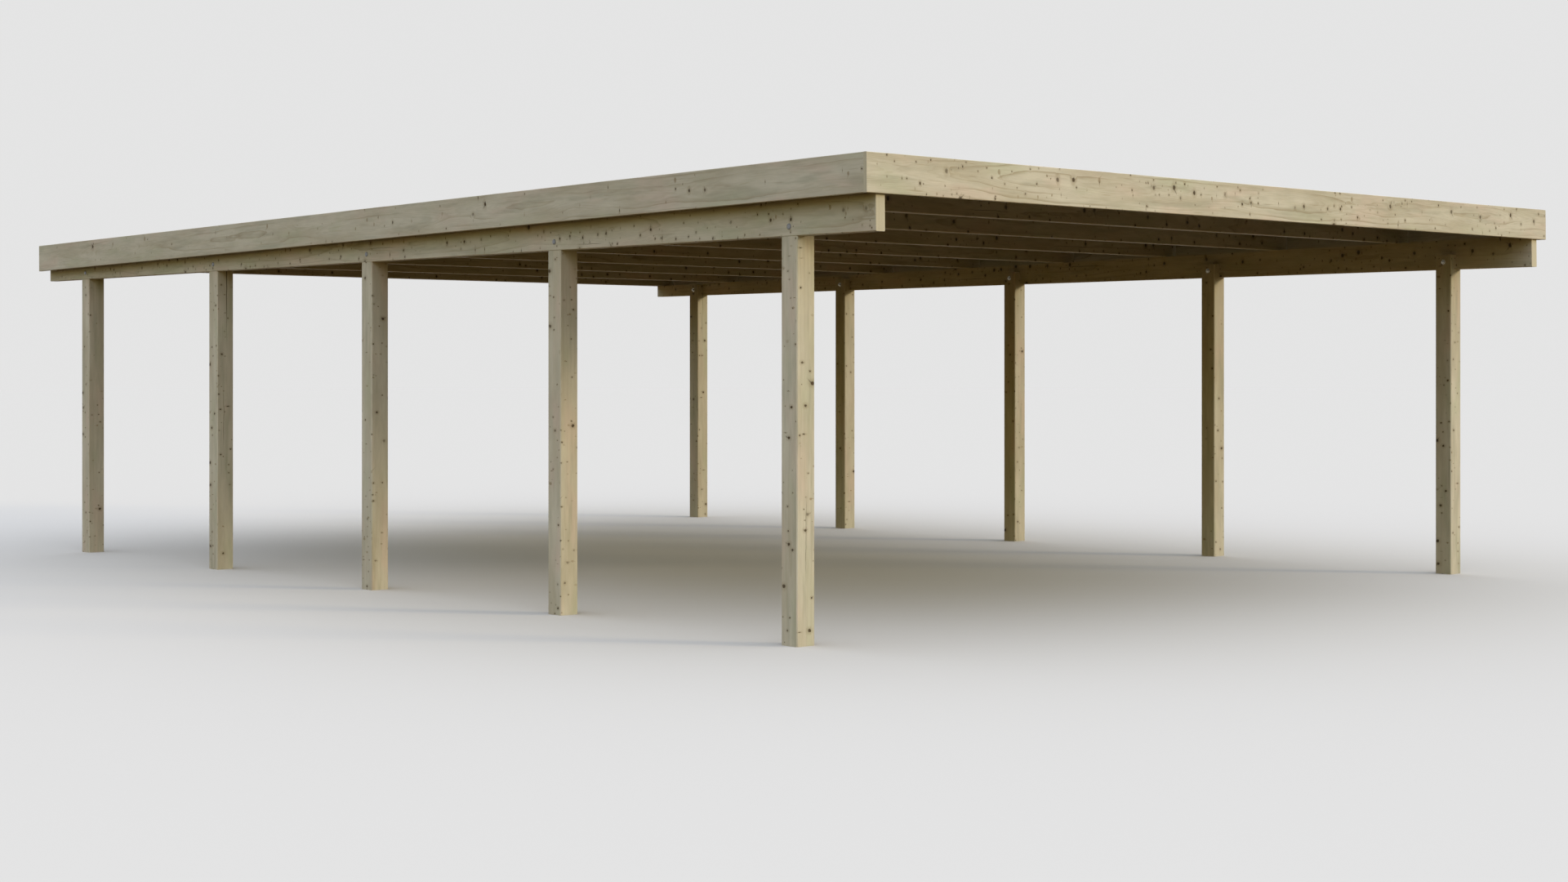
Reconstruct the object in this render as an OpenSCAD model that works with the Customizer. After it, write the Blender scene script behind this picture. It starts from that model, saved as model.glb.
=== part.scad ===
// Double carport: two rows of square timber posts with half-lapped heads carry two side beams.
// The beams are level below and tapered on top, so the roof falls gently to the back.
// Cross joists lie on the beams, and deep fascia boards hide profiled sheets on the front and sides.
// Millimetres. The origin is on the ground, at the centre of the plan. The entrance faces -Y.

/* [Layout] */
// Distance between the outer faces of the two rows of posts
row_width = 6000; // [4800:10:7000]
// Distance from one post to the same face of the next one in its row
post_spacing = 2000; // [1500:10:2500]
// Number of posts in each row
posts_per_row = 5; // [3:1:6]
// Distance from the front fascia's face to the first posts
front_overhang = 592; // [200:1:900]
// Distance from the last posts to the rear end of the roof
rear_overhang = 576; // [200:1:900]
// Distance from the beams' outer faces to the side fascias' outer faces
side_overhang = 80; // [50:1:250]
// Fall of the roof to the back, in degrees
roof_pitch = 0.65; // [0.3:0.05:2]

/* [Posts] */
// Side of the square posts
post_size = 120; // [100:1:160]
// Height of the seat that the beams rest on, over the ground
seat_height = 2054; // [1900:1:2600]
// Gap between the top of a post's tongue and the lowest joist underside
tongue_gap = 2; // [0.5:0.5:20]
// Chamfer of the posts' long edges
post_chamfer = 5; // [1:0.5:10]

/* [Beams] */
// Thickness of the side beams
beam_t = 60; // [40:1:80]
// Height of the side beams at their rear, where they are lowest
beam_rear_h = 100; // [80:1:200]
// Distance from the beams' rear ends to the rear end of the roof
beam_setback = 22; // [22:1:60]
// Chamfer of the beams' lower edges
beam_chamfer = 3; // [1:0.5:8]

/* [Joists] */
// Thickness of the joists
joist_t = 60; // [40:1:80]
// Height of the joists
joist_h = 140; // [100:1:160]
// Distance from one joist to the next, between their centres
joist_spacing = 1025; // [600:1:1300]
// Distance from the centre of the last joist to the rear end of the roof
last_joist_setback = 86; // [70:1:200]
// Chamfer of the joists' lower edges
joist_chamfer = 3; // [1:0.5:8]

/* [Fascia] */
// Thickness of the fascia boards and of the rear board
fascia_t = 22; // [18:0.5:30]
// Height of the fascia boards
fascia_h = 196; // [180:1:260]
// Distance that the fascia boards reach below the joists' undersides
fascia_drop = 24; // [5:1:60]
// Chamfer of the boards' long edges
fascia_chamfer = 2.5; // [0.5:0.5:5]

/* [Roof sheets] */
// Number of sheets side by side
sheet_count = 6; // [4:1:8]
// Ribs that each sheet covers
ribs_per_sheet = 7; // [5:1:8]
// Thickness of the metal, measured upright
sheet_t = 0.6; // [0.5:0.1:1.5]
// Height of the ribs
rib_h = 20; // [12:1:30]
// Width of a rib at its crown
rib_crown = 35; // [20:1:40]
// Width of a rib at its foot
rib_foot = 65; // [50:1:80]
// Gap between two sheets where they lap
lap_gap = 0.3; // [0.2:0.1:0.6]
// Gap between the sheets and the fascia boards
sheet_edge_gap = 5; // [2:0.5:15]

/* [Hidden] */
// Wood and coated steel, as seen in even light
fresh_wood = "#dccba2";
beam_wood = "#d6c49a";
joist_wood = "#c9b68b";
fascia_wood = "#e0cfa6";
sheet_grey = "#6f7478";

// Level length of the roof, and its length along the fall
roof_run = front_overhang + (posts_per_row - 1) * post_spacing + post_size + rear_overhang;
roof_len = roof_run / cos(roof_pitch);
// Width of the roof outside, and between the side fascias
roof_w = row_width + 2 * side_overhang;
inner_w = roof_w - 2 * fascia_t;

// Start of the roof's own frame: front face of the front fascia, level with the joists' undersides.
// The shift by the tilt of the boards keeps the whole plan centred on the origin.
roof_front_y = -roof_run / 2 - (fascia_h / 2 - fascia_drop) * sin(roof_pitch);
beam_end = roof_len - beam_setback;
roof_front_z = seat_height + beam_rear_h + beam_end * sin(roof_pitch);

first_post_y = roof_front_y + front_overhang;
tongue_h = beam_rear_h - tongue_gap;

first_joist = fascia_t + joist_t / 2;
last_joist = roof_len - last_joist_setback;
joist_bays = round((last_joist - first_joist) / joist_spacing);
joist_places = concat([for (i = [0 : joist_bays - 1]) first_joist + i * joist_spacing], [last_joist]);
joist_count = len(joist_places);

// The ribs start and end against the side fascias, and fill the width evenly
rib_span = inner_w - 2 * sheet_edge_gap - rib_foot;
rib_pitch = rib_span / (sheet_count * ribs_per_sheet);
rib_web = (rib_foot - rib_crown) / 2;

// A height that clears every beam, used to cut them to the roof's plane
beam_blank_h = beam_rear_h + (roof_len + fascia_h) * sin(roof_pitch) + fascia_h;

// Places its children in the roof's frame, which falls to the back
module in_roof() {
    translate([0, roof_front_y, roof_front_z])
        rotate([-roof_pitch, 0, 0])
            children();
}

// Rectangle from the origin with its four corners cut off at 45 degrees
module chamfered_rect(w, h, c) {
    polygon([
        [c, 0], [w - c, 0], [w, c], [w, h - c],
        [w - c, h], [c, h], [0, h - c], [0, c]
    ]);
}

// Rectangle from the origin with its two lower corners cut off at 45 degrees
module eased_rect(w, h, c) {
    polygon([[c, 0], [w - c, 0], [w, c], [w, h], [0, h], [0, c]]);
}

// A bar that runs along +Y from the origin, with the given section in X and Z
module along_y(length) {
    translate([0, length, 0])
        rotate([90, 0, 0])
            linear_extrude(length)
                children();
}

// A bar that runs along +X from the origin, with the given section in Y and Z
module along_x(length) {
    rotate([90, 0, 90])
        linear_extrude(length)
            children();
}

// A post with its outer face at X = 0 and its front face at Y = 0.
// The outer part of the head is cut away as the beam's seat, and the rest stands up as a tongue.
module post() {
    color(fresh_wood)
        difference() {
            linear_extrude(seat_height + tongue_h)
                chamfered_rect(post_size, post_size, post_chamfer);
            translate([-beam_t, -post_size, seat_height])
                cube([2 * beam_t, 3 * post_size, 2 * tongue_h]);
        }
}

// A beam with its outer face at X = 0, level below and cut to the roof's plane on top and at its ends
module beam() {
    color(beam_wood)
        intersection() {
            translate([0, -roof_len, seat_height])
                along_y(2 * roof_len)
                    eased_rect(beam_t, beam_blank_h, beam_chamfer);
            in_roof()
                translate([-beam_t, fascia_t, -2 * beam_blank_h])
                    cube([3 * beam_t, beam_end - fascia_t, 2 * beam_blank_h]);
        }
}

module joist(i) {
    color(joist_wood)
        in_roof()
            translate([-inner_w / 2, joist_places[i - 1] - joist_t / 2, 0])
                along_x(inner_w)
                    eased_rect(joist_t, joist_h, joist_chamfer);
}

module front_fascia() {
    color(fascia_wood)
        in_roof()
            translate([-roof_w / 2, 0, -fascia_drop])
                along_x(roof_w)
                    chamfered_rect(fascia_t, fascia_h, fascia_chamfer);
}

// A side board behind the front one, with its outer face at X = 0
module side_fascia() {
    color(fascia_wood)
        in_roof()
            translate([0, fascia_t, -fascia_drop])
                along_y(roof_len - fascia_t)
                    chamfered_rect(fascia_t, fascia_h, fascia_chamfer);
}

// The board that closes the back, between the side boards and under the sheets
module rear_board() {
    color(fascia_wood)
        in_roof()
            translate([-inner_w / 2, roof_len - fascia_t, 0])
                along_x(inner_w)
                    eased_rect(fascia_t, joist_h, fascia_chamfer);
}

// Underside of one rib about X = 0, raised by lift. A raised rib's near web runs on down to the pan.
function rib_line(lift) = [
    [-rib_foot / 2 - lift * rib_web / rib_h, 0],
    [-rib_crown / 2, rib_h + lift],
    [rib_crown / 2, rib_h + lift],
    [rib_foot / 2, lift]
];

// Middle of a rib, counted across the whole roof from 0
function rib_place(n) = -rib_span / 2 + n * rib_pitch;

// Underside of a sheet. Its last rib is raised to lap over the next sheet's first one.
function sheet_line(i) = [
    for (k = [0 : ribs_per_sheet])
        let (laps = k == ribs_per_sheet && i < sheet_count)
        for (p = rib_line(laps ? sheet_t + lap_gap : 0))
            [rib_place((i - 1) * ribs_per_sheet + k) + p.x, p.y]
];

module roof_sheet(i) {
    under = sheet_line(i);
    over = [for (n = [len(under) - 1 : -1 : 0]) under[n] + [0, sheet_t]];
    start = fascia_t + sheet_edge_gap;
    color(sheet_grey)
        in_roof()
            translate([0, start, joist_h])
                along_y(roof_len - start)
                    polygon(concat(under, over));
}

// Puts a piece that is drawn from its outer face on the left or right edge of a given width
module on_left(width) {
    translate([-width / 2, 0, 0])
        children();
}

module on_right(width) {
    translate([width / 2, 0, 0])
        mirror([1, 0, 0])
            children();
}

module at_post(i) {
    translate([0, first_post_y + (i - 1) * post_spacing, 0])
        children();
}

for (i = [1 : posts_per_row]) {
    at_post(i) on_left(row_width) post();
    at_post(i) on_right(row_width) post();
}
on_left(row_width) beam();  // left_beam
on_right(row_width) beam();  // right_beam
for (i = [1 : joist_count]) {
    joist(i);
}
front_fascia();
on_left(roof_w) side_fascia();  // left_fascia
on_right(roof_w) side_fascia();  // right_fascia
rear_board();
for (i = [1 : sheet_count]) {
    roof_sheet(i);
}
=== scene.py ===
import math
import random
from collections import namedtuple

import bmesh
import bpy
from mathutils import Matrix, Vector


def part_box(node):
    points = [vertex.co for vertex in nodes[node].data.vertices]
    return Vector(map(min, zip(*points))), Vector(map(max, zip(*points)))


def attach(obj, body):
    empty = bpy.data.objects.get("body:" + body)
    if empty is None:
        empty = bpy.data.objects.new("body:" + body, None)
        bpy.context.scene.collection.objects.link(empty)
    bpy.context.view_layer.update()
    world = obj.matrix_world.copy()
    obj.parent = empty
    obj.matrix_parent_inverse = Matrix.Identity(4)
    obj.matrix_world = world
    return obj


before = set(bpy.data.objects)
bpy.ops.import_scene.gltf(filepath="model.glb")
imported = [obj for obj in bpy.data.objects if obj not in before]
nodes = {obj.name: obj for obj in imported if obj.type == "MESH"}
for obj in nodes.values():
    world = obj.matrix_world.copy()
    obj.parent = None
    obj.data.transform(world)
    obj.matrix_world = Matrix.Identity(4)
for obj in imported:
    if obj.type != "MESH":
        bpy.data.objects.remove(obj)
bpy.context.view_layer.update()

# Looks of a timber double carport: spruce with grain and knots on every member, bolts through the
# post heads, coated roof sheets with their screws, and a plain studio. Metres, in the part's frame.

# Camera, worked out from the feet of the posts and the lines of the roof in the photograph
CAMERA_AT = (-10.681, -12.698, 1.410)
CAMERA_TURN = -43.16
CAMERA_LENS = 53.2
CAMERA_SENSOR = 36.0
CAMERA_SHIFT = (-0.0480, -0.0486)
CAMERA_REACH = 500.0

# Sky: soft light by height over the horizon, in degrees
SKY = [(0, (0.60, 0.42, 0.08)), (8, (0.56, 0.53, 0.14)), (20, (1.04, 1.15, 1.14)),
       (45, (1.30, 1.45, 1.86)), (90, (1.24, 1.34, 1.52))]

# Front fill: soft light about one direction, from none to full between two cosines of the angle to it
FRONT_FILL = (0.40, 0.40, 0.39)
FILL_FROM = (0, -1, 0)
FILL_REACH = (0.1, 1.0)

# Key: a soft warm sun from the front right, with its turn, height and spread in degrees
KEY = (1.65, 1.39, 0.90)
KEY_SIDE = 35.0
KEY_HEIGHT = 16.0
KEY_SPREAD = 12.0

# Floor: the faint light that it sends up to the part, and the brightness that it and the backdrop show
GROUND = (0.100, 0.060, 0.010)
BACKDROP = 0.78
FLOOR_R = 120.0
FLOOR_SIDES = 96

# Wood, as linear colours
WOOD_PALE = (0.535, 0.490, 0.393)
WOOD_TAN = (0.455, 0.405, 0.306)
WOOD_LINE = (0.270, 0.215, 0.128)
WOOD_GREEN = (0.425, 0.426, 0.298)
WOOD_PINK = (0.545, 0.442, 0.357)
WOOD_STAIN = (0.330, 0.315, 0.236)
KNOT_DARK = (0.038, 0.025, 0.013)
KNOT_CORE = (0.098, 0.062, 0.031)
KNOT_RIM = (0.215, 0.150, 0.076)
END_GRAIN = (0.490, 0.440, 0.328)

# Shade of the wood, how far members differ in it, its gloss and roughness, and the depth of its fibres
WOOD_SHADE = 0.80
SHADE_SPREAD = 0.025
WOOD_GLOSS = 0.10
WOOD_ROUGH = (0.52, 0.70)
FIBRE_DEPTH = 0.0003

# How the wood of one kind of member looks: its bold rings, the wandering of its pith, the shares of small
# and large knots, of whiskers and of cracks, the size of its large knots, and its brightness.
# A member is of the first kind whose key is in its name.
Grain = namedtuple("Grain", "bold wander small large whiskers cracks size level")
GRAIN = {
    "post": Grain(bold=0.14, wander=0.05, small=0.34, large=0.38, whiskers=0.10,
                  cracks=0.18, size=0.92, level=0.985),
    # The right beam's higher level is painted light: it brightens the whole beam to stand in for light that
    # its shaded inner face lacks.
    "right_beam": Grain(bold=0.32, wander=0.12, small=0.34, large=0.66, whiskers=0.10,
                        cracks=0.12, size=1.20, level=1.12),
    "beam": Grain(bold=0.32, wander=0.12, small=0.34, large=0.70, whiskers=0.10,
                  cracks=0.12, size=1.10, level=0.99),
    "joist": Grain(bold=0.36, wander=0.12, small=0.30, large=0.64, whiskers=0.10,
                   cracks=0.10, size=1.40, level=0.97),
    "front_fascia": Grain(bold=0.50, wander=0.14, small=0.36, large=0.50, whiskers=0.16,
                          cracks=0.0, size=1.00, level=0.94),
    "fascia": Grain(bold=0.36, wander=0.10, small=0.04, large=0.05, whiskers=0.06,
                    cracks=0.0, size=1.00, level=0.90),
    "board": Grain(bold=0.42, wander=0.12, small=0.30, large=0.40, whiskers=0.12,
                   cracks=0.0, size=1.00, level=0.90)}

# A member's chances: how far its pith may lie to the sides and from its middle line, and how far into the
# pattern it may start
PITH_SIDE = 0.03
PITH_OFF = (0.06, 0.10)
PATTERN_RANGE = 40

# Width of a year's ring, and of the bold bands
YEAR_RING = 0.0046
BOLD_RING = 0.0230

# Layers of knots: the size of their cells, the least and greatest radius, the stretch across the grain,
# the share that has wings, and a start that sets each layer's pattern apart. Whiskers are cut lengthwise.
KnotLayer = namedtuple("KnotLayer", "cell radius stretch wings start")
SMALL_KNOTS = KnotLayer(cell=0.062, radius=(0.0020, 0.0048), stretch=1.25, wings=0.34, start=0.0)
LARGE_KNOTS = KnotLayer(cell=0.125, radius=(0.0045, 0.0115), stretch=1.20, wings=0.45, start=3.3)
WHISKERS = KnotLayer(cell=0.052, radius=(0.0015, 0.0032), stretch=3.4, wings=0.0, start=7.7)
SMUDGES = KnotLayer(cell=0.130, radius=(0.0042, 0.0105), stretch=1.5, wings=0.75, start=9.4)
SMUDGE_SHARE = 0.46

# Thin drying cracks: the length of their cells, the cells' width as a share of it, the least and greatest
# half length, the width and the start of the pattern. The hairline keeps a width from being 0.
CRACK_CELL = 1.1
CRACK_STRETCH = 0.12
CRACK_HALF = (0.10, 0.30)
CRACK_WIDTH = 0.0011
CRACK_START = 2.6
HAIRLINE = 0.00005

# The widest drying crack, in one post's front face: its place off the middle, its length and its width
SPLIT_POST = "post_left_4"
SPLIT_OFF = 0.0096
SPLIT_LENGTH = 0.56
SPLIT_WIDTH = 0.0070

# Coated sheets, zinc and rubber, as linear colours, with their roughness, the depth of the coat's grain and
# the two brightnesses of the zinc's spangle
SHEET_GREY = (0.130, 0.130, 0.125)
SHEET_DUST = (0.245, 0.235, 0.210)
SHEET_ROUGH = (0.42, 0.68)
SHEET_GRAIN = 0.0002
# The warm yellow tint of BRIGHT_ZINC is a painted reflection: it stands in for the warm wood that the nuts
# mirror.
BRIGHT_ZINC = (0.500, 0.460, 0.370)
DULL_ZINC = (0.215, 0.220, 0.230)
ZINC_SPANGLE = (0.82, 1.1)
ZINC_ROUGH = (0.24, 0.44)
RUBBER = (0.024, 0.024, 0.026)
RUBBER_WORN = (0.048, 0.048, 0.050)
RUBBER_ROUGH = 0.75

# Bolts through the post heads, each with a dome, a washer and a nut
BOLT_DOME_R = 0.0150
BOLT_DOME_H = 0.0068
WASHER_R = 0.0160
WASHER_T = 0.0025
NUT_R = 0.0110
NUT_T = 0.0100
BOLT_R = 0.0060
BOLT_TAIL = 0.0060
NUT_SEED = 11

# Screws of the roof sheets, in the pans: in every second one over the inner joists
SHEET_T = 0.0006
SCREW_WASHER_R = 0.0080
SCREW_WASHER_T = 0.0022
SCREW_HEAD_R = 0.0046
SCREW_HEAD_T = 0.0048
SCREW_EVERY = 2
SCREW_SEED = 12

# Fasteners' forms: the dome's rim and the eased edges as shares, the sides of round pieces and hexagons,
# and the angle in degrees from which an edge is sharp
DOME_RIM = 0.22
DOME_STEPS = 7
NUT_EDGE = 0.12
WASHER_EASE = 0.25
ROUND_SIDES = 32
BOLT_SIDES = 16
SEAL_SIDES = 14
HEX_SIDES = 6
SHARP_ANGLE = 35

# How near a corner of a solid is taken to be at a board's end, at a sheet's front edge or on a pan
END_REACH = 0.01
EDGE_REACH = 0.002
PAN_REACH = 0.0003

scene = bpy.context.scene


# Node building


def link_node(tree, kind, inputs=None, **settings):
    """A new node with its settings, and with each input linked or set."""
    made = tree.nodes.new(kind)
    for name, value in settings.items():
        setattr(made, name, value)
    for key, value in (inputs or {}).items():
        if isinstance(value, bpy.types.NodeSocket):
            tree.links.new(value, made.inputs[key])
        else:
            made.inputs[key].default_value = value
    return made


class Graph:
    """Short names for the nodes that the materials are made of. Each call gives an output socket."""

    def __init__(self, name):
        self.material = bpy.data.materials.new(name)
        self.material.use_nodes = True
        self.tree = self.material.node_tree
        self.tree.nodes.clear()

    def math(self, operation, a, b=0.0, c=0.0):
        return link_node(self.tree, "ShaderNodeMath", {0: a, 1: b, 2: c}, operation=operation).outputs[0]

    def plus(self, a, b):
        return self.math("ADD", a, b)

    def minus(self, a, b):
        return self.math("SUBTRACT", a, b)

    def times(self, a, b):
        return self.math("MULTIPLY", a, b)

    def over(self, a, b):
        return self.math("DIVIDE", a, b)

    def times_plus(self, a, b, c):
        return self.math("MULTIPLY_ADD", a, b, c)

    def size(self, value):
        return self.math("ABSOLUTE", value)

    def larger(self, a, b):
        return self.math("MAXIMUM", a, b)

    def below(self, value, limit):
        return self.math("LESS_THAN", value, limit)

    def step(self, value, low, high, to_low=0.0, to_high=1.0):
        """A smooth step between the two results, as the value goes from low to high."""
        return link_node(self.tree, "ShaderNodeMapRange",
                         {"Value": value, "From Min": low, "From Max": high, "To Min": to_low,
                          "To Max": to_high}, interpolation_type="SMOOTHSTEP").outputs[0]

    def vector(self, x, y, z):
        return link_node(self.tree, "ShaderNodeCombineXYZ", {0: x, 1: y, 2: z}).outputs[0]

    def split(self, vector):
        return link_node(self.tree, "ShaderNodeSeparateXYZ", {0: vector}).outputs

    def point(self):
        """The point of the surface, in the part's frame."""
        return link_node(self.tree, "ShaderNodeTexCoord").outputs["Object"]

    def noise(self, place, waves, detail=2.0, roughness=0.5):
        """Noise over three values, each with so many waves a metre. A fixed one sets a pattern apart."""
        scaled = [value if count == 1 else self.times(value, count) for value, count in zip(place, waves)]
        return link_node(self.tree, "ShaderNodeTexNoise",
                         {"Vector": self.vector(*scaled), "Scale": 1.0, "Detail": detail,
                          "Roughness": roughness}).outputs["Fac"]

    def cells(self, vector):
        return link_node(self.tree, "ShaderNodeTexVoronoi",
                         {"Vector": vector, "Scale": 1.0, "Randomness": 1.0},
                         voronoi_dimensions="2D").outputs

    def mix(self, factor, a, b):
        """A colour between two."""
        rgba = [c if isinstance(c, bpy.types.NodeSocket) else (*c, 1.0) for c in (a, b)]
        return link_node(self.tree, "ShaderNodeMix", {0: factor, 6: rgba[0], 7: rgba[1]},
                         data_type="RGBA").outputs[2]

    def blend(self, factor, a, b):
        """A value between two."""
        return link_node(self.tree, "ShaderNodeMix", {0: factor, 2: a, 3: b}).outputs[0]

    def dim(self, factor, color):
        """The colour times the factor."""
        return link_node(self.tree, "ShaderNodeVectorMath", {0: color, "Scale": factor},
                         operation="SCALE").outputs[0]

    def bump(self, height, distance, strength):
        return link_node(self.tree, "ShaderNodeBump",
                         {"Height": height, "Distance": distance, "Strength": strength}).outputs[0]

    def surface(self, **inputs):
        """The finished material, with the shader's inputs by their names."""
        shader = link_node(self.tree, "ShaderNodeBsdfPrincipled",
                           {key.replace("_", " "): value for key, value in inputs.items()})
        link_node(self.tree, "ShaderNodeOutputMaterial", {"Surface": shader.outputs[0]})
        return self.material


class Group(Graph):
    """A group of nodes that several materials share. Its inputs are in given."""

    def __init__(self, name, vectors, values, outputs):
        self.tree = bpy.data.node_groups.new(name, "ShaderNodeTree")
        inputs = [(key, "Vector") for key in vectors] + [(key, "Float") for key in values]
        for key, kind in inputs:
            self.tree.interface.new_socket(key, in_out="INPUT", socket_type="NodeSocket" + kind)
        for key, kind in outputs.items():
            self.tree.interface.new_socket(key, in_out="OUTPUT", socket_type="NodeSocket" + kind)
        self.given = link_node(self.tree, "NodeGroupInput").outputs

    def give(self, outputs):
        link_node(self.tree, "NodeGroupOutput", outputs)
        return self.tree


# Wood


def roof_slope():
    """Tangent of the roof's fall, from the top edge of a side board."""
    points = [v.co for v in nodes["left_fascia"].data.vertices]
    front = min(p.y for p in points)
    rear = max(p.y for p in points)

    def top(y):
        return max(p.z for p in points if abs(p.y - y) < END_REACH)

    return (top(front) - top(rear)) / (rear - front)


ROOF_TILT = math.atan(roof_slope())


def grain_axis(name):
    """0, 1 or 2: the axis along which a member runs."""
    if name.startswith("post"):
        return 2
    if name.endswith("beam") or name in ("left_fascia", "right_fascia"):
        return 1
    return 0


def cells_at(g, along, around, size, stretch):
    """Cells of the given size: the way along and around from each one's middle, its chances and place."""
    cell = g.cells(g.vector(g.over(along, size), g.over(around, size * stretch), 0.0))
    middle = g.split(cell["Position"])
    off_along = g.times_plus(middle[0], -size, along)
    off_around = g.times_plus(middle[1], -size * stretch, around)
    return off_along, off_around, g.split(cell["Color"]), g.times(middle[0], size)


def knot_wings(g, share, off_along, off_around, chance, reach):
    """Curved wings to both sides of a share of the knots, one longer than the other."""
    uneven = g.times_plus(chance[2], 1.6 / share, -0.8)
    length = g.times_plus(g.math("SIGN", off_around), uneven, 1.0)
    out = g.over(g.size(off_around), g.times(reach, length))
    lean = g.times_plus(chance[1], 1.8, -0.9)
    curve = g.times(g.math("POWER", out, 1.4), lean)
    off = g.minus(g.over(off_along, reach), curve)
    wing = g.times(g.step(g.size(off), 0.60, 0.10), g.step(out, 2.7, 0.8, 0.0, 0.70))
    return g.times(wing, g.below(chance[2], share))


Knots = namedtuple("Knots", "mask halo spot")


def knots(g, layer, along, around, share, grown=1.0):
    """One layer of knots: their mask, a halo about them and the place in them, 1 at the edge.
    About the given share of the cells has one, and more of them in whorls."""
    start = g.plus(along, layer.start)
    off_along, off_around, chance, place = cells_at(g, start, around, layer.cell, layer.stretch)
    whorl = g.noise((place, layer.stretch, layer.cell), (2.3, 1, 1), 0.0)
    crowd = g.times(g.step(whorl, 0.30, 0.70, 0.35, 1.65), share)
    tone = g.step(g.math("FRACT", g.times(chance[1], 7.0)), 0.0, 0.7, 0.40, 1.0)
    there = g.times(g.below(chance[0], crowd), tone)

    least, greatest = layer.radius
    reach = g.times_plus(g.math("POWER", chance[1], 1.6), greatest - least, least)
    reach = g.times(reach, grown)
    flat = g.over(off_around, layer.stretch)
    far = g.math("SQRT", g.times_plus(off_along, off_along, g.times(flat, flat)))
    spot = g.over(far, reach)
    mask = g.times(g.step(spot, 1.25, 0.65), there)
    halo = g.times(g.step(spot, 3.4, 0.8), there)
    if layer.wings:
        wings = knot_wings(g, layer.wings, off_along, off_around, chance, reach)
        mask = g.larger(mask, g.times(wings, there))
    return Knots(mask, halo, spot)


def knot_masks(g, along, around, face):
    """All knots of a member, the halo about them, the cores of the large ones, and faint smudges."""
    fray = g.minus(g.noise((along, around, 1.7), (110.0, 110.0, 1)), 0.5)
    frayed = g.times_plus(fray, 0.0110, around)
    shaken = g.times_plus(fray, -0.0080, along)
    crowd = g.noise((face, g.given["Chance"], 0.4), (1.9, 1, 1), 0.0)
    crowd = g.step(crowd, 0.34, 0.66, 0.80, 1.35)
    shares = {key: g.times(crowd, g.given[key]) for key in ("Small", "Large", "Whiskers")}
    small = knots(g, SMALL_KNOTS, shaken, frayed, shares["Small"])
    large = knots(g, LARGE_KNOTS, shaken, frayed, shares["Large"], g.given["Knot size"])
    whiskers = knots(g, WHISKERS, shaken, frayed, shares["Whiskers"])
    knot = halo = 0.0
    for layer in (small, large, whiskers):
        knot = g.larger(knot, layer.mask)
        halo = g.larger(halo, layer.halo)
    core = g.times(large.mask, g.step(large.spot, 0.80, 0.20))
    smudge = knots(g, SMUDGES, shaken, frayed, SMUDGE_SHARE).mask
    return knot, halo, core, smudge


def thin_cracks(g, along, around, share):
    """Drying cracks: thin lines along the grain, 0.2 to 0.6 m long, that waver and run out at both ends."""
    off_along, off_around, chance, place = cells_at(g, along, around, CRACK_CELL, CRACK_STRETCH)
    waver = g.noise((along, place, 0.6), (9.0, 1, 1), 3.0, 0.6)
    off = g.size(g.times_plus(g.minus(waver, 0.5), 0.016, off_around))
    least, greatest = CRACK_HALF
    half = g.times_plus(chance[1], greatest - least, least)
    width = g.times(g.step(g.over(g.size(off_along), half), 1.0, 0.3), CRACK_WIDTH)
    line = g.step(g.over(off, g.plus(width, HAIRLINE)), 1.3, 0.7)
    return g.times(line, g.below(chance[0], share))


def post_split(g, height, across, front):
    """One wide drying crack down a post's front face. It narrows below the beam's seat and runs out."""
    fallen = g.minus(g.given["Seat"], height)
    waver = g.noise((fallen, 2.5, 0.0), (7.0, 1, 1), 3.0, 0.6)
    off = g.times_plus(g.minus(waver, 0.5), 0.014, g.minus(across, SPLIT_OFF))
    width = g.step(fallen, SPLIT_LENGTH, 0.0, 0.0, SPLIT_WIDTH)
    line = g.step(g.over(g.size(off), g.plus(width, HAIRLINE)), 0.65, 0.35)
    return g.times(g.times(line, g.below(front, -0.5)), g.given["Split"])


def ring_masks(g, along, around, across, deep, halo):
    """Growth rings about a pith that wanders along the member, bent about the knots: every year's line,
    those away from the bold bands, the bold bands in patches, and their dark edges."""
    drift = g.noise((along, 4.1, 0.0), (0.7, 1, 1), 1.0)
    drift = g.times(g.minus(drift, 0.5), g.given["Wander"])
    ripple = g.noise((along, across, deep), (1.2, 9.0, 9.0), 4.0)
    off_across = g.plus(g.minus(across, g.given["Pith across"]), drift)
    off_deep = g.minus(deep, g.given["Pith deep"])
    ring = g.math("SQRT", g.plus(g.times(off_across, off_across), g.times(off_deep, off_deep)))
    ring = g.times_plus(ripple, 0.050, ring)
    ring = g.times_plus(halo, 0.007, ring)

    def lines(width, start, full):
        phase = g.math("FRACT", g.over(ring, width))
        return g.times(g.step(phase, start, full), g.step(phase, 1.0, 0.96))

    patch = g.noise((along, around, 8.3), (1.1, 8.0, 1))
    year = lines(YEAR_RING, 0.25, 0.90)
    fine = g.times(year, g.step(patch, 0.62, 0.40))
    bold = g.times(lines(BOLD_RING, 0.62, 0.95), g.step(patch, 0.36, 0.62))
    edge = g.times(lines(BOLD_RING, 0.88, 0.96), g.step(patch, 0.40, 0.56))
    return year, fine, bold, edge


def unrolled(g, height, across, deep, normal):
    """The place along and around a member. Each of the four long faces has its own stretch of the pattern,
    and face tells them apart."""
    on_side = g.math("GREATER_THAN", g.size(normal[1]), g.size(normal[2]))
    side_face = g.times_plus(g.math("SIGN", normal[1]), 1.7, 3.0)
    deep_face = g.times_plus(g.math("SIGN", normal[2]), 2.3, 9.0)
    face = g.blend(on_side, deep_face, side_face)
    around = g.plus(g.blend(on_side, across, deep), face)
    along = g.times_plus(face, 3.7, g.plus(height, g.given["Start"]))
    return along, around, face


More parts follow.
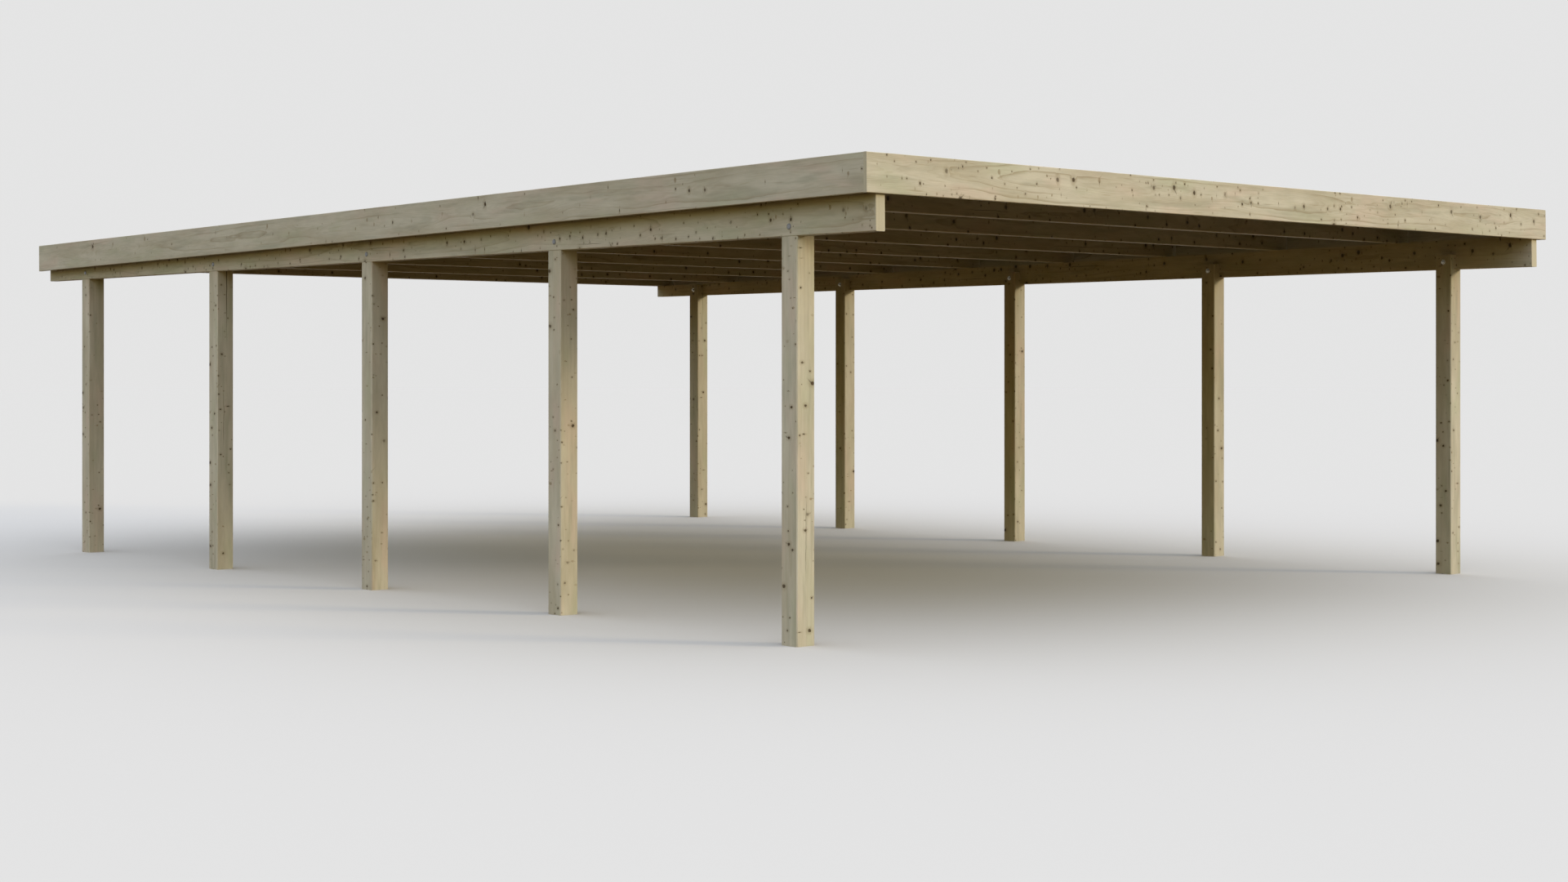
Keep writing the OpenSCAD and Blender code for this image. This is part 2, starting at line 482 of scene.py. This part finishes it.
def spruce():
    """Planed spruce: growth rings about a pith, knots that bend them, stains, cracks and end grain.
    Place and Normal run along, across and deep in a member, and the values tell the members apart."""
    g = Group("spruce", ("Place", "Normal"),
              ("Start", "Chance", "Pith across", "Pith deep", "Bold", "Wander", "Small", "Large",
               "Whiskers", "Cracks", "Knot size", "Level", "Split", "Seat"),
              {"Color": "Color", "Roughness": "Float", "Normal": "Vector"})
    bold_share = g.given["Bold"]
    height, across, deep = g.split(g.given["Place"])
    normal = g.split(g.given["Normal"])
    along, around, face = unrolled(g, height, across, deep, normal)

    knot, halo, core, smudge = knot_masks(g, along, around, face)
    year, fine, bold, edge = ring_masks(g, along, around, across, deep, halo)
    crack = g.larger(thin_cracks(g, g.plus(along, CRACK_START), around, g.given["Cracks"]),
                     post_split(g, height, across, normal[2]))

    # Broad drifts of colour, greyish stains, and brown streaks along the grain
    broad = g.noise((along, around, 2.2), (1.6, 9.0, 1), 3.0)
    tint = g.noise((along, around, 5.9), (2.2, 6.0, 1))
    stain = g.noise((along, around, 7.3), (1.9, 17.0, 1), 3.0, 0.6)
    streak = g.noise((along, around, 6.1), (5.0, 95.0, 1))

    # Each of these colours lies over the ones before it
    color = g.mix(g.step(broad, 0.34, 0.68), WOOD_PALE, WOOD_TAN)
    for factor, tone in [
            (g.step(tint, 0.53, 0.74, 0.0, 0.56), WOOD_GREEN),
            (g.step(tint, 0.48, 0.30, 0.0, 0.65), WOOD_PINK),
            (g.step(stain, 0.50, 0.74, 0.0, 0.52), WOOD_STAIN),
            (g.times(fine, g.times_plus(bold_share, 0.25, 0.03)), WOOD_LINE),
            (g.times(bold, bold_share), WOOD_LINE),
            (g.times(edge, g.times_plus(bold_share, 0.9, -0.05)), WOOD_LINE),
            (g.times(g.step(streak, 0.58, 0.80, 0.0, 0.9), bold_share), WOOD_LINE),
            (g.times(smudge, 0.64), KNOT_RIM),
            (g.times(halo, 0.34), KNOT_RIM),
            (g.times(knot, 0.93), KNOT_DARK),
            (g.times(core, 0.7), KNOT_CORE),
            (g.times(crack, 0.85), KNOT_DARK)]:
        color = g.mix(factor, color, tone)

    # Sawn ends, where the fibres are cut across, and paler eased edges
    cut = g.mix(g.times(year, 0.30), END_GRAIN, WOOD_LINE)
    color = g.mix(g.step(g.size(normal[0]), 0.75, 0.95), color, cut)
    eased = g.math("MINIMUM", g.size(normal[1]), g.size(normal[2]))
    eased = g.step(eased, 0.3, 0.6, 1.0, 1.08)

    fibre = g.noise((along, across, deep), (7.0, 420.0, 420.0), 3.0, 0.6)
    mottle = g.noise((along, around, 3.4), (8.0, 34.0, 1), 3.0, 0.6)
    shade = g.times_plus(fibre, 0.14, g.given["Level"])
    shade = g.times_plus(mottle, 0.28, shade)
    return g.give({"Color": g.dim(g.times(shade, eased), color),
                   "Roughness": g.step(fibre, 0.2, 0.8, *WOOD_ROUGH),
                   "Normal": g.bump(fibre, FIBRE_DEPTH, 0.6)})


def wood(name, spruce_group, seed):
    """The material of one member: the spruce with the member's own place, kind and chances."""
    draw = random.Random(seed)
    kind = next(grain for key, grain in GRAIN.items() if key in name)
    low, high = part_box(name)
    middle = (low + high) / 2
    axis = grain_axis(name)
    order = [axis] + [i for i in range(3) if i != axis]

    # Posts and beams are true to the axes, and all else is at the roof's tilt
    tilt = 0.0 if name.startswith("post") or name.endswith("beam") else ROOF_TILT

    # The pith lies off the broad faces
    pith = [draw.uniform(-PITH_SIDE, PITH_SIDE), draw.uniform(*PITH_OFF) * draw.choice((-1, 1))]
    if (high - low)[order[1]] < (high - low)[order[2]]:
        pith.reverse()

    g = Graph("wood_" + name)
    place = link_node(g.tree, "ShaderNodeVectorMath", {0: g.point(), 1: middle}, operation="SUBTRACT")
    place = link_node(g.tree, "ShaderNodeVectorRotate", {"Vector": place.outputs[0], "Angle": tilt},
                      rotation_type="X_AXIS")
    place = g.split(place.outputs[0])
    normal = g.split(link_node(g.tree, "ShaderNodeNewGeometry").outputs["True Normal"])
    made = link_node(g.tree, "ShaderNodeGroup", {
        "Place": g.vector(*[place[i] for i in order]), "Normal": g.vector(*[normal[i] for i in order]),
        "Start": draw.uniform(0, PATTERN_RANGE), "Chance": draw.uniform(0, PATTERN_RANGE),
        "Pith across": pith[0], "Pith deep": pith[1],
        "Bold": kind.bold, "Wander": kind.wander, "Small": kind.small, "Large": kind.large,
        "Whiskers": kind.whiskers, "Cracks": kind.cracks, "Knot size": kind.size,
        "Level": WOOD_SHADE * kind.level + draw.uniform(-SHADE_SPREAD, SHADE_SPREAD),
        "Split": float(name == SPLIT_POST), "Seat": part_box("left_beam")[0].z - middle.z,
    }, node_tree=spruce_group).outputs
    return g.surface(Base_Color=made["Color"], Roughness=made["Roughness"], Normal=made["Normal"],
                     Specular_IOR_Level=WOOD_GLOSS)


# Metal and rubber


def coated_sheet():
    """Coated steel with faint dust that has run down the fall of the roof."""
    g = Graph("coated_sheet")
    x, y, z = g.split(g.point())
    runs = g.noise((x, y, z), (26.0, 0.9, 1), 4.0, 0.6)
    cloud = g.noise((x, y, 3.0), (1.6, 1.6, 1), 3.0)
    grain = g.noise((x, y, z), (900.0, 900.0, 900.0), 1.0)
    dust = g.times(g.step(runs, 0.45, 0.85), g.step(cloud, 0.30, 0.75))
    color = g.mix(g.times(dust, 0.65), SHEET_GREY, SHEET_DUST)
    color = g.dim(g.plus(g.times(grain, 0.12), 0.94), color)
    rough = g.step(dust, 0.0, 1.0, *SHEET_ROUGH)
    return g.surface(Base_Color=color, Roughness=rough, Normal=g.bump(grain, SHEET_GRAIN, 0.25))


def zinc_steel(name, tone, shine):
    """Zinc-plated steel with the cloudy spangle of the plating. A dull one has a skin of oxide."""
    g = Graph(name)
    spots = g.noise(g.split(g.point()), (260.0, 260.0, 260.0), 3.0)
    dark, light = ([share * channel for channel in tone] for share in ZINC_SPANGLE)
    color = g.mix(g.step(spots, 0.3, 0.7), dark, light)
    return g.surface(Base_Color=color, Metallic=shine, Roughness=g.step(spots, 0.3, 0.7, *ZINC_ROUGH))


def soft_rubber():
    """Black sealing rubber."""
    g = Graph("soft_rubber")
    spots = g.noise(g.split(g.point()), (400.0, 400.0, 400.0))
    color = g.mix(g.step(spots, 0.3, 0.7), RUBBER, RUBBER_WORN)
    return g.surface(Base_Color=color, Roughness=RUBBER_ROUGH)


# Fasteners


def lathe(bm, profile, sides, turn, at):
    """Turns a profile of (radius, height) about +Z, starting so many sides on, and places it.
    A radius of 0 closes an end."""
    angles = [2 * math.pi * (k + turn) / sides for k in range(sides)]
    rings = []
    for radius, height in profile:
        around = angles if radius else angles[:1]
        points = [Vector((radius * math.cos(a), radius * math.sin(a), height)) for a in around]
        rings.append([bm.verts.new(at @ point) for point in points])
    for lower, upper in zip(rings, rings[1:]):
        for k in range(sides):
            corners = [lower[k % len(lower)], lower[(k + 1) % len(lower)],
                       upper[(k + 1) % len(upper)], upper[k % len(upper)]]
            bm.faces.new(list(dict.fromkeys(corners)))


def make_piece(name, build, material):
    """A mesh object that build(bm) fills, riding on the frame."""
    bm = bmesh.new()
    build(bm)
    bmesh.ops.recalc_face_normals(bm, faces=bm.faces)
    mesh = bpy.data.meshes.new(name)
    bm.to_mesh(mesh)
    bm.free()
    mesh.shade_smooth()
    mesh.set_sharp_from_angle(angle=math.radians(SHARP_ANGLE))
    piece = bpy.data.objects.new(name, mesh)
    scene.collection.objects.link(piece)
    mesh.materials.append(material)
    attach(piece, "root")


def facing(direction, at):
    """A matrix that turns +Z to the direction and moves the origin to the point."""
    turn = Vector(direction).to_track_quat("Z", "Y").to_matrix().to_4x4()
    return Matrix.Translation(at) @ turn


def dome_profile(radius, height):
    """A shallow dome on a short upright rim, from the rim's foot to the crown."""
    rim = height * DOME_RIM
    angles = [math.pi / 2 * k / DOME_STEPS for k in range(DOME_STEPS)]
    arc = [(radius * math.cos(a), rim + (height - rim) * math.sin(a)) for a in angles]
    return [(0, 0), (radius, 0), *arc, (0, height)]


def nut_profile(radius, thickness):
    """A nut's flats, with its corners cut back on both faces."""
    cut = radius * NUT_EDGE
    return [(0, 0), (radius - cut, 0), (radius, cut), (radius, thickness - cut), (radius - cut, thickness),
            (0, thickness)]


def washer_profile(radius, thickness):
    """A flat disc with a small eased edge."""
    ease = thickness * WASHER_EASE
    return [(0, 0), (radius, 0), (radius, thickness - ease), (radius - ease, thickness), (0, thickness)]


def bolt_places():
    """For each post: the points on the beam's outer face and on the tongue's inner face, and outwards."""
    for side, out in (("left", -1), ("right", 1)):
        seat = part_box(side + "_beam")[0].z
        for name in sorted(n for n in nodes if n.startswith("post_" + side)):
            low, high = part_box(name)
            level = (seat + high.z) / 2
            middle = (low.y + high.y) / 2
            outer, inner = (low.x, high.x) if out < 0 else (high.x, low.x)
            yield Vector((outer, middle, level)), Vector((inner, middle, level)), Vector((out, 0, 0))


def build_bolt_domes(bm):
    """The round heads of the bolts, on the beams' outer faces."""
    dome = dome_profile(BOLT_DOME_R, BOLT_DOME_H)
    for outer, inner, out in bolt_places():
        lathe(bm, dome, ROUND_SIDES, 0, facing(out, outer))


def build_bolt_nuts(bm):
    """Washer, nut and bolt end, on the inner faces of the post heads."""
    draw = random.Random(NUT_SEED)
    washer = washer_profile(WASHER_R, WASHER_T)
    nut = nut_profile(NUT_R, NUT_T)
    tail = washer_profile(BOLT_R, BOLT_TAIL)
    for outer, inner, out in bolt_places():
        lathe(bm, washer, ROUND_SIDES, 0, facing(-out, inner))
        lathe(bm, nut, HEX_SIDES, draw.random(), facing(-out, inner - out * WASHER_T))
        lathe(bm, tail, BOLT_SIDES, 0, facing(-out, inner - out * (WASHER_T + NUT_T)))


def pan_places():
    """Number and middle of each sheet's pans across the roof, from the feet of its ribs."""
    for name in sorted(n for n in nodes if n.startswith("roof_sheet")):
        points = [v.co for v in nodes[name].data.vertices]
        front = min(p.y for p in points)
        rim = [p for p in points if p.y < front + EDGE_REACH]
        floor = min(p.z for p in rim)
        feet = sorted({round(p.x, 4) for p in rim if p.z < floor + PAN_REACH})
        for k, (a, b) in enumerate(zip(feet[1::2], feet[2::2])):
            yield k, (a + b) / 2


def screw_places():
    """Points on the pans over each joist, and the way up from the roof there.
    They are in every pan over the first and last joists, and else in every second."""
    up = Vector((0, math.sin(ROOF_TILT), math.cos(ROOF_TILT)))
    joists = sorted((n for n in nodes if n.startswith("joist")), key=lambda n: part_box(n)[0].y)
    for i, name in enumerate(joists):
        low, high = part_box(name)
        half = (high.z - low.z) / 2
        top = (low + high) / 2 + up * half
        for k, x in pan_places():
            if i in (0, len(joists) - 1) or k % SCREW_EVERY == 0:
                yield Vector((x, top.y, top.z)) + up * SHEET_T, up


def build_screw_seals(bm):
    """Rubber seals under the heads of the roof screws."""
    seal = washer_profile(SCREW_WASHER_R, SCREW_WASHER_T)
    for at, up in screw_places():
        lathe(bm, seal, SEAL_SIDES, 0, facing(up, at))


def build_screw_heads(bm):
    """Hexagon heads of the roof screws, each turned by chance."""
    draw = random.Random(SCREW_SEED)
    head = nut_profile(SCREW_HEAD_R, SCREW_HEAD_T)
    for at, up in screw_places():
        lathe(bm, head, HEX_SIDES, draw.random(), facing(up, at + up * SCREW_WASHER_T))


# Studio


def by_ray(tree, lighting, seen):
    """One shader for rays that light the part, and another for those that show the backdrop: the camera's
    own, and those that gloss or glass send on."""
    path = link_node(tree, "ShaderNodeLightPath").outputs
    shows = path["Is Camera Ray"]
    for key in ("Is Glossy Ray", "Is Transmission Ray"):
        shows = link_node(tree, "ShaderNodeMath", {0: shows, 1: path[key]}, operation="MAXIMUM").outputs[0]
    return link_node(tree, "ShaderNodeMixShader",
                     {0: shows, 1: lighting.outputs[0], 2: seen.outputs[0]}).outputs[0]


def sky_light(tree, direction):
    """The sky's colour in a direction, by its height."""
    height = link_node(tree, "ShaderNodeSeparateXYZ", {0: direction}).outputs["Z"]
    ramp = link_node(tree, "ShaderNodeValToRGB", {"Fac": height})
    stops = ramp.color_ramp.elements
    while len(stops) < len(SKY):
        stops.new(1.0)
    for stop, (angle, color) in zip(stops, SKY):
        stop.position = math.sin(math.radians(angle))
        stop.color = (*color, 1)
    return ramp.outputs["Color"]


def fill_light(tree, direction):
    """The front fill's colour in a direction."""
    ahead = link_node(tree, "ShaderNodeVectorMath", {0: direction, 1: FILL_FROM}, operation="DOT_PRODUCT")
    share = link_node(tree, "ShaderNodeMapRange",
                      {"Value": ahead.outputs["Value"], "From Min": FILL_REACH[0],
                       "From Max": FILL_REACH[1]}, interpolation_type="SMOOTHSTEP")
    return link_node(tree, "ShaderNodeVectorMath", {0: FRONT_FILL, "Scale": share.outputs[0]},
                     operation="SCALE").outputs[0]


def make_world():
    """The sky and the front fill light the part, and a plain backdrop shows behind it."""
    world = bpy.data.worlds.new("studio")
    scene.world = world
    world.use_nodes = True
    tree = world.node_tree
    tree.nodes.clear()
    direction = link_node(tree, "ShaderNodeTexCoord").outputs["Generated"]
    total = link_node(tree, "ShaderNodeVectorMath",
                      {0: sky_light(tree, direction), 1: fill_light(tree, direction)}, operation="ADD")
    light = link_node(tree, "ShaderNodeBackground", {"Color": total.outputs[0]})
    seen = link_node(tree, "ShaderNodeBackground", {"Color": (1, 1, 1, 1), "Strength": BACKDROP})
    link_node(tree, "ShaderNodeOutputWorld", {"Surface": by_ray(tree, light, seen)})


def fill_on_floor(steps=40):
    """The share of the front fill that an open floor gets, summed over the half dome in front."""
    total = 0.0
    for height in [(i + 0.5) / steps for i in range(steps)]:
        for turn in [math.pi * ((i + 0.5) / steps - 0.5) for i in range(steps)]:
            ahead = math.sqrt(1 - height ** 2) * math.cos(turn)
            rise = min(max((ahead - FILL_REACH[0]) / (FILL_REACH[1] - FILL_REACH[0]), 0), 1)
            total += rise ** 2 * (3 - 2 * rise) * height
    return total / steps ** 2


def light_on_floor():
    """The light that an open floor gets from the sky, the fill and the key, in each channel."""
    heights = [math.sin(math.radians(angle)) for angle, color in SKY]
    key_share = math.sin(math.radians(KEY_HEIGHT)) / math.pi
    fill_share = fill_on_floor()
    total = []
    for channel in range(3):
        level = KEY[channel] * key_share + FRONT_FILL[channel] * fill_share
        for (low, high), (a, b) in zip(zip(heights, heights[1:]), zip(SKY, SKY[1:])):
            rise = (b[1][channel] - a[1][channel]) / (high - low)
            base = a[1][channel] - rise * low
            level += base * (high ** 2 - low ** 2) + rise * (high ** 3 - low ** 3) * 2 / 3
        total.append(level)
    return total


def make_floor():
    """A plain pale floor that meets the backdrop without a line. It keeps the shadow of the roof."""
    pale = [BACKDROP / level for level in light_on_floor()]
    g = Graph("studio_floor")
    ground = link_node(g.tree, "ShaderNodeEmission", {"Color": (*GROUND, 1), "Strength": 1.0})
    seen = link_node(g.tree, "ShaderNodeBsdfDiffuse", {"Color": (*pale, 1)})
    link_node(g.tree, "ShaderNodeOutputMaterial", {"Surface": by_ray(g.tree, ground, seen)})
    bm = bmesh.new()
    bmesh.ops.create_circle(bm, cap_ends=True, segments=FLOOR_SIDES, radius=FLOOR_R)
    mesh = bpy.data.meshes.new("studio_floor")
    bm.to_mesh(mesh)
    bm.free()
    floor = bpy.data.objects.new("studio_floor", mesh)
    scene.collection.objects.link(floor)
    mesh.materials.append(g.material)


def make_key():
    """The soft warm sun."""
    lamp = bpy.data.lights.new("key", "SUN")
    lamp.energy = max(KEY)
    lamp.color = [channel / max(KEY) for channel in KEY]
    lamp.angle = math.radians(KEY_SPREAD)
    key = bpy.data.objects.new("key", lamp)
    key.rotation_euler = (math.radians(90 - KEY_HEIGHT), 0, math.radians(KEY_SIDE))
    scene.collection.objects.link(key)


def make_camera():
    """A level camera with a shifted frame, so that upright edges stay upright in the picture."""
    lens = bpy.data.cameras.new("camera")
    lens.sensor_width = CAMERA_SENSOR
    lens.lens = CAMERA_LENS
    lens.shift_x, lens.shift_y = CAMERA_SHIFT
    lens.clip_end = CAMERA_REACH
    camera = bpy.data.objects.new("camera", lens)
    camera.location = CAMERA_AT
    camera.rotation_euler = (math.radians(90), 0, math.radians(CAMERA_TURN))
    scene.collection.objects.link(camera)
    scene.camera = camera


def set_material(name, material):
    """Gives a node of the frame its finish."""
    mesh = nodes[name].data
    mesh.materials.clear()
    mesh.materials.append(material)


make_camera()
make_world()
make_floor()
make_key()
scene.view_settings.view_transform = "Standard"

sheet_finish = coated_sheet()
spruce_group = spruce()
for number, name in enumerate(sorted(nodes)):
    set_material(name, sheet_finish if name.startswith("roof_sheet") else wood(name, spruce_group, number))

# Nuts and screw heads share the bright zinc. Its warm tint is a painted reflection of the wood around the
# nuts.
bright_zinc = zinc_steel("bright_zinc", BRIGHT_ZINC, 1.0)
make_piece("post_bolt_domes", build_bolt_domes, zinc_steel("dull_zinc", DULL_ZINC, 0.5))
make_piece("post_bolt_nuts", build_bolt_nuts, bright_zinc)
make_piece("roof_screw_seals", build_screw_seals, soft_rubber())
make_piece("roof_screw_heads", build_screw_heads, bright_zinc)
